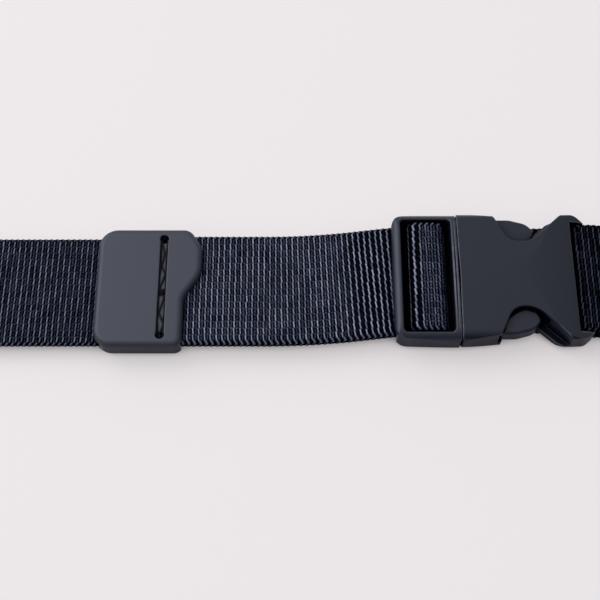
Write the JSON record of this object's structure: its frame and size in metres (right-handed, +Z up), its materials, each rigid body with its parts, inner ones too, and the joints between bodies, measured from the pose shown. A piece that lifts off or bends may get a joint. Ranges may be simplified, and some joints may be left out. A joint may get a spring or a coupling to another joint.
{
  "type": "dive weight belt",
  "caption": "Webbing belt for dive weights, fastened by a side-release buckle with an adjustable plug, its tail sewn to a sliding strap keeper.",
  "frame": {"origin": "under the middle of the closed belt as it lies flat, on the surface that it rests on", "axes": "+X along the belt from the keeper towards the buckle's socket, +Y across the strap, +Z up out of the front faces of the buckle and the keeper"},
  "size_m": [0.4024, 0.0612, 0.0164],
  "materials": {
    "buckle_plastic": "satin, moulded",
    "keeper_plastic": "satin, finely grained",
    "webbing": "coarse flat-woven webbing",
    "thread": "thick twisted thread"
  },
  "bodies": {
    "belt": {"plug_frame": "buckle_plastic", "belt_webbing": "webbing"},
    "upper_arm": {"upper_latch_arm": "buckle_plastic"},
    "lower_arm": {"lower_latch_arm": "buckle_plastic"},
    "socket": {"socket_body": "buckle_plastic", "socket_webbing": "webbing", "loop_seam": "thread"},
    "keeper": {"keeper_body": "keeper_plastic", "tail_end_webbing": "webbing", "keeper_seam": "thread"}
  },
  "joints": [
    {"name": "socket_release", "type": "slide", "parent": "belt", "child": "socket", "axis": [1, 0, 0], "range_m": [0, 0.036], "deforming": ["upper_latch_arm", "lower_latch_arm"]},
    {"name": "upper_arm_squeeze", "type": "hinge", "parent": "belt", "child": "upper_arm", "pos_m": [0.0686, 0.0215, 0.0095], "axis": [0, 0, -1], "range_deg": [0, 9], "stiffness_Nm_per_rad": 0.5},
    {"name": "lower_arm_squeeze", "type": "hinge", "parent": "belt", "child": "lower_arm", "pos_m": [0.0686, -0.0193, 0.0095], "axis": [0, 0, 1], "range_deg": [0, 9], "stiffness_Nm_per_rad": 0.5},
    {"name": "keeper_travel", "type": "slide", "parent": "belt", "child": "keeper", "axis": [1, 0, 0], "range_m": [-0.03, 0]}
  ]
}
